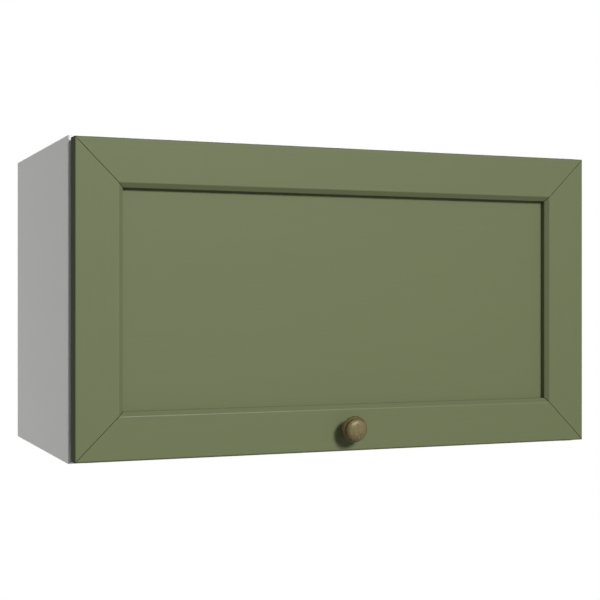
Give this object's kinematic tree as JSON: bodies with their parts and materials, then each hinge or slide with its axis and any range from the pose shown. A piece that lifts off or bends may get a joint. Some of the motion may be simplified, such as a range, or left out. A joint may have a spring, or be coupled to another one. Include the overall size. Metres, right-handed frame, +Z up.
{
  "type": "lift up wall cabinet",
  "caption": "Wide, low wall cabinet whose framed panel door lifts on cup hinges along its top edge, guided by a lever stay at each side.",
  "frame": {"origin": "middle of the bottom panel's rear edge, half way through its thickness, in the plane of the wall", "axes": "+Z up, +Y into the wall, so the door faces -Y; +X to the right seen from in front"},
  "size_m": [0.6, 0.339, 0.332],
  "materials": {
    "carcass_laminate": "white melamine-faced board, satin",
    "back_board": "white-faced hardboard",
    "door_paint": "grey-green paint on wood board, satin",
    "aged_brass": "antique brass, mottled, satin",
    "nickel_steel": "nickel-plated pressed steel",
    "zinc_steel": "zinc-plated steel",
    "spring_steel": "oiled spring wire",
    "grey_plastic": "light grey moulded nylon",
    "white_plastic": "white moulded plastic",
    "bumper_rubber": "clear-grey soft plastic pad"
  },
  "bodies": {
    "cabinet": {"side_panel_left": "carcass_laminate", "side_panel_right": "carcass_laminate", "top_panel": "carcass_laminate", "bottom_panel": "carcass_laminate", "back_panel": "back_board", "hinge_plate_left": "nickel_steel", "hinge_arm_left": "nickel_steel", "hinge_plate_right": "nickel_steel", "hinge_arm_right": "nickel_steel", "cam_top_left_front": "zinc_steel", "cam_top_left_rear": "zinc_steel", "cam_top_right_front": "zinc_steel", "cam_top_right_rear": "zinc_steel", "cam_bottom_left_front": "zinc_steel", "cam_bottom_left_rear": "zinc_steel", "cam_bottom_right_front": "zinc_steel", "cam_bottom_right_rear": "zinc_steel", "hanger_hook_left": "zinc_steel", "hanger_hook_right": "zinc_steel", "plate_screw_left_a": "zinc_steel", "plate_screw_left_b": "zinc_steel", "plate_screw_right_a": "zinc_steel", "plate_screw_right_b": "zinc_steel", "stay_spring_left": "spring_steel", "stay_spring_right": "spring_steel", "stay_housing_left": "grey_plastic", "stay_cover_left": "grey_plastic", "stay_housing_right": "grey_plastic", "stay_cover_right": "grey_plastic", "hanger_housing_left": "white_plastic", "hanger_housing_right": "white_plastic"},
    "door": {"door_top_rail": "door_paint", "door_bottom_rail": "door_paint", "door_left_stile": "door_paint", "door_right_stile": "door_paint", "door_centre_panel": "door_paint", "knob": "aged_brass", "knob_screw": "zinc_steel", "bumper_left": "bumper_rubber", "bumper_right": "bumper_rubber", "hinge_cup_left": "nickel_steel", "hinge_pin_left": "zinc_steel", "door_bracket_left": "nickel_steel", "hinge_cup_right": "nickel_steel", "hinge_pin_right": "zinc_steel", "door_bracket_right": "nickel_steel", "cup_screw_left_a": "zinc_steel", "cup_screw_left_b": "zinc_steel", "cup_screw_right_a": "zinc_steel", "cup_screw_right_b": "zinc_steel"},
    "stay_arm_left": {"stay_lever_left": "nickel_steel", "stay_shaft_left": "zinc_steel", "stay_link_pin_left": "zinc_steel"},
    "stay_connector_left": {"stay_link_left": "nickel_steel"},
    "stay_arm_right": {"stay_lever_right": "nickel_steel", "stay_shaft_right": "zinc_steel", "stay_link_pin_right": "zinc_steel"},
    "stay_connector_right": {"stay_link_right": "nickel_steel"}
  },
  "joints": [
    {"name": "door_lift", "type": "hinge", "parent": "cabinet", "child": "door", "pos_m": [0, -0.304, 0.313], "axis": [-1, 0, 0], "range_deg": [0, 95]},
    {"name": "stay_lever_left_swing", "type": "hinge", "parent": "cabinet", "child": "stay_arm_left", "pos_m": [-0.266, -0.25, 0.268], "axis": [-1, 0, 0], "range_deg": [0, 95]},
    {"name": "stay_link_left_swing", "type": "hinge", "parent": "stay_arm_left", "child": "stay_connector_left", "pos_m": [-0.266, -0.231, 0.2], "axis": [-1, 0, 0], "range_deg": [-95, 0]},
    {"name": "stay_lever_right_swing", "type": "hinge", "parent": "cabinet", "child": "stay_arm_right", "pos_m": [0.266, -0.25, 0.268], "axis": [-1, 0, 0], "range_deg": [0, 95]},
    {"name": "stay_link_right_swing", "type": "hinge", "parent": "stay_arm_right", "child": "stay_connector_right", "pos_m": [0.266, -0.231, 0.2], "axis": [-1, 0, 0], "range_deg": [-95, 0]}
  ],
  "couplings": [
    {"joint": "stay_lever_left_swing", "follows": "door_lift", "ratio": 1},
    {"joint": "stay_link_left_swing", "follows": "door_lift", "ratio": -1},
    {"joint": "stay_lever_right_swing", "follows": "door_lift", "ratio": 1},
    {"joint": "stay_link_right_swing", "follows": "door_lift", "ratio": -1}
  ]
}
